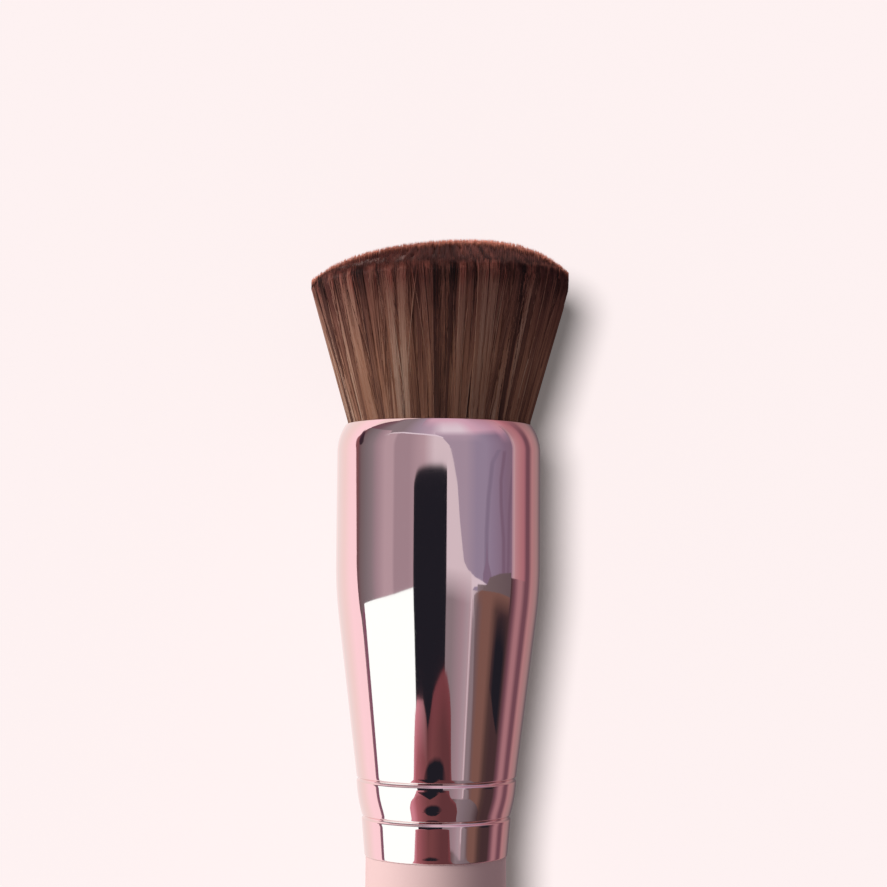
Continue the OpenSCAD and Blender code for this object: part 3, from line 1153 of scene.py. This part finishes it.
def hang_front_cards():
    """The studio's front: the black flag by the camera, and the table's edge under it."""
    card(
        "black_flag",
        7,
        [
            (-26.4, DEEP, 141.5),
            (-24.2, DEEP, 143.8),
            (-22, DEEP, 144.8),
            (-19.9, DEEP, 145.2),
            (-15.6, DEEP, 145.6),
            (-9, DEEP, 145.9),
            (3.6, DEEP, 145.9),
            (7.9, DEEP, 145.4),
            (9.2, DEEP, 145),
        ],
        [(-26.4, BLACK), (9.2, BLACK)],
        fade=1.5,
    )
    card(
        "table_edge",
        8,
        [
            (-40.5, -60, -22),
            (-39, DEEP, -6),
            (-37, DEEP, 7.8),
            (-34.5, DEEP, 15.5),
            (-31.9, DEEP, 21.7),
            (-30, DEEP, 29.5),
            (-28, DEEP, 35.5),
            (-25, DEEP, 39),
            (-17.4, DEEP, 38),
            (-13.8, DEEP, 34),
            (-12, DEEP, 30.5),
            (-9.3, DEEP, 32.8),
            (-4.8, DEEP, 38.8),
            (-1.2, DEEP, 41.2),
            (4, DEEP, 43.8),
            (8.1, DEEP, 45.4),
            (12, DEEP, 44),
            (16.3, DEEP, 39.3),
            (18.2, DEEP, 34.5),
            (19.3, DEEP, 27),
            (20.5, DEEP, 21),
            (22.8, DEEP, 16.4),
            (29.4, DEEP, -2),
            (33, DEEP, -35),
        ],
        [
            (-40.5, ROSE),
            (-36, ROSE),
            (-29, shown(163, 90, 97)),
            (-20, shown(134, 74, 79)),
            (-12, RUSSET),
            (-6, RUSSET),
            (8, GARNET),
            (33, GARNET),
        ],
        [
            (-40.5, ROSE),
            (-25, ROSE),
            (-17, PINK),
            (-12, GARNET),
            (-4, shown(116, 60, 66)),
            (8, shown(119, 60, 65)),
            (33, shown(119, 60, 65)),
        ],
        14.0,
    )
    card(
        "table_shade",
        0,
        [(-15, 85.9, 86.6), (-12, 85.9, 88), (-8, 85.9, 88.9), (-2, 85.9, 89.4), (4, 85.9, 89.3), (8, 85.9, 88.6), (12, 85.9, 86.6)],
        [(-15, GARNET), (-10, BLACK), (7, BLACK), (12, GARNET)],
        fade=0.9,
        drum=30 * MM,
    )
    card(
        "band_shade",
        0,
        [(-22, 85.9, 86.1), (-15, 84.8, 86.1), (-7.5, 83.2, 86.1), (-2, 84.4, 86.1), (4.5, 85.9, 86.1)],
        [(-22, GARNET), (-15, BLACK), (0, BLACK), (4.5, GARNET)],
        fade=0.1,
        drum=30 * MM,
    )
    card(
        "skirt_shade",
        0,
        [(-18.5, 76.3, 76.5), (-12, 76.1, 76.7), (-7.7, 76.1, 76.8), (0, 76.15, 76.7), (5.7, 76.35, 76.5)],
        [(-18.5, GARNET), (-12, BLACK), (0, BLACK), (5.7, GARNET)],
        fade=0.2,
        drum=30 * MM,
    )
    card(
        "table_hollow",
        9,
        [
            (-20, -36, -31),
            (-17, -45, -20),
            (-13, -53, -11),
            (-7, -56, -5),
            (0, -55, -6),
            (5, -47, -12),
            (9, -36, -24),
            (10.5, -32, -30),
        ],
        [(-20, GARNET), (-15, BLACK), (3, BLACK), (10.5, GARNET)],
        fade=12.0,
    )
    card(
        "table_grey",
        7,
        [(16, DEEP, 17), (27, DEEP, 17), (38, DEEP, 16), (50, DEEP, 18), (56, DEEP, 10), (62, DEEP, -1), (69, DEEP, -25)],
        [(16, GARNET), (25, ASH), (31, GREY), (42, shown(124, 105, 111)), (55, shown(112, 93, 97)), (69, UMBER)],
    )


def hang_rear_cards():
    """Behind the brush: a black flag between mauve sheets, for the ferrule's back."""
    card("rear_sheet", 1, [(157, DEEP, 285), (208, DEEP, 285)], [(157, ASH), (176, ASH), (184, MAUVE), (194, SHELL), (208, SHELL)])
    card("rear_flag", 3, [(172, DEEP, 150), (181, DEEP, 150)], [(172, BLACK), (181, BLACK)], fade=3.0)


def hang_cards():
    """The studio as the ferrule mirrors it."""
    hang_sky_cards()
    hang_left_cards()
    hang_right_cards()
    hang_front_cards()
    hang_rear_cards()


def light_studio(pieces, backdrop, floor):
    """One soft key from the left, a weaker lamp behind, and lamps that light only the paper."""
    paper_lamp = PAPER_LIT / PAPER_ALBEDO
    key_height = 38
    tilt = 12
    steep = 65
    sun("key_lamp", -62, key_height, 0.83 / math.cos(math.radians(key_height)), 35, pieces)
    sun("rear_lamp", 165, 30, 0.45, 30, pieces)
    sun("tuft_lamp", 5, 12, 0.10, 60, pieces[1:])
    sun("tuft_edge_lamp", -100, 5, 0.20, 50, pieces[1:])
    sun("backdrop_lamp", -tilt, 3, paper_lamp / math.cos(math.radians(tilt)), 17.5, [backdrop])
    sun("floor_lamp", -40, steep, paper_lamp / math.sin(math.radians(steep)), 17.5, [floor])
    world = bpy.data.worlds.new("studio")
    bpy.context.scene.world = world
    world.use_nodes = True
    tree = world.node_tree
    tree.nodes.clear()
    path = tree.nodes.new("ShaderNodeLightPath")
    seen = tree.nodes.new("ShaderNodeMath")
    seen.operation = "MAXIMUM"
    tree.links.new(path.outputs["Is Camera Ray"], seen.inputs[0])
    tree.links.new(path.outputs["Is Glossy Ray"], seen.inputs[1])
    through = tree.nodes.new("ShaderNodeMath")
    through.operation = "MAXIMUM"
    tree.links.new(seen.outputs[0], through.inputs[0])
    tree.links.new(path.outputs["Is Transmission Ray"], through.inputs[1])
    dim = tree.nodes.new("ShaderNodeBackground")
    dim.inputs["Color"].default_value = (*AMBIENT, 1)
    pale = tree.nodes.new("ShaderNodeBackground")
    pale.inputs["Color"].default_value = (*PAPER, 1)
    both = tree.nodes.new("ShaderNodeMixShader")
    output = tree.nodes.new("ShaderNodeOutputWorld")
    tree.links.new(through.outputs[0], both.inputs[0])
    tree.links.new(dim.outputs[0], both.inputs[1])
    tree.links.new(pale.outputs[0], both.inputs[2])
    tree.links.new(both.outputs[0], output.inputs["Surface"])


def place_camera():
    """The photograph's view: close, a little above the ferrule's crimps, looking slightly up."""
    data = bpy.data.cameras.new("photo_camera")
    data.sensor_width = 36.0
    data.lens = 76.5
    data.clip_start = 0.01
    camera = bpy.data.objects.new("photo_camera", data)
    bpy.context.scene.collection.objects.link(camera)
    look_up, roll = 4.354, 0.41
    turned = Matrix.Rotation(math.radians(90 + look_up), 4, "X") @ Matrix.Rotation(math.radians(roll), 4, "Z")
    camera.matrix_world = Matrix.Translation((0.0006, -0.245, 0.11684)) @ turned
    bpy.context.scene.camera = camera


place_camera()
ferrule = build_ferrule()
handle = build_handle()
dress_inside()
bristles = build_bristles()

backdrop = paper_sheet("backdrop", (0, WALL_Y, 0), (math.radians(90), 0, 0))
floor = paper_sheet("floor", (0, 0, 0), (0, 0, 0))
hang_cards()
light_studio([handle, *bristles], backdrop, floor)
bpy.context.scene.view_settings.view_transform = "Standard"
